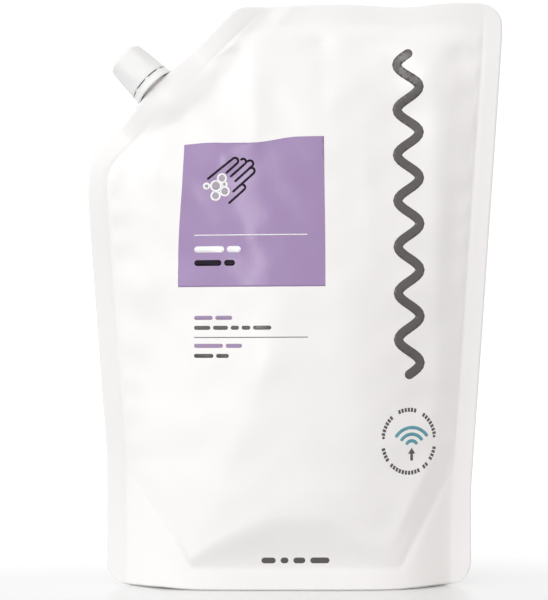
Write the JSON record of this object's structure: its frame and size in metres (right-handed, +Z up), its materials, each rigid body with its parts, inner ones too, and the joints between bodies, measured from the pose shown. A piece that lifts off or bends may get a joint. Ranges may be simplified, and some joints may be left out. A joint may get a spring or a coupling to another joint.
{
  "type": "hand soap refill pack",
  "caption": "Stand-up film pouch of liquid hand soap with a folded bottom gusset, welded side seams, and a screw-capped pouring spout on its cut top corner.",
  "frame": {"origin": "middle of the overall box, on the plane the pack stands on", "axes": "+X along the pack's width with the spout on the -X side, +Y from front to back, +Z up"},
  "size_m": [0.1858, 0.0696, 0.2609],
  "materials": {
    "film": "satin white laminated film",
    "spout_plastic": "satin natural white moulded polyethylene",
    "cap_plastic": "satin white moulded polyethylene",
    "liner_foam": "matt white polyethylene foam"
  },
  "bodies": {
    "pack_body": {"pouch": "film", "spout": "spout_plastic", "tamper_band": "cap_plastic"},
    "liner_body": {"cap_liner": "liner_foam"},
    "cap_body": {"cap": "cap_plastic"}
  },
  "joints": [
    {"name": "cap_lift", "type": "slide", "parent": "pack_body", "child": "liner_body", "axis": [-0.7017, 0.1911, 0.6864], "range_m": [0, 0.01401]},
    {"name": "cap_turn", "type": "hinge", "parent": "liner_body", "child": "cap_body", "pos_m": [-0.06924, 0.00845, 0.22908], "axis": [-0.7017, 0.1911, 0.6864], "range_deg": [0, 1440]}
  ],
  "couplings": [
    {"joint": "cap_lift", "follows": "cap_turn", "m_per_rad": 0.00055704}
  ]
}
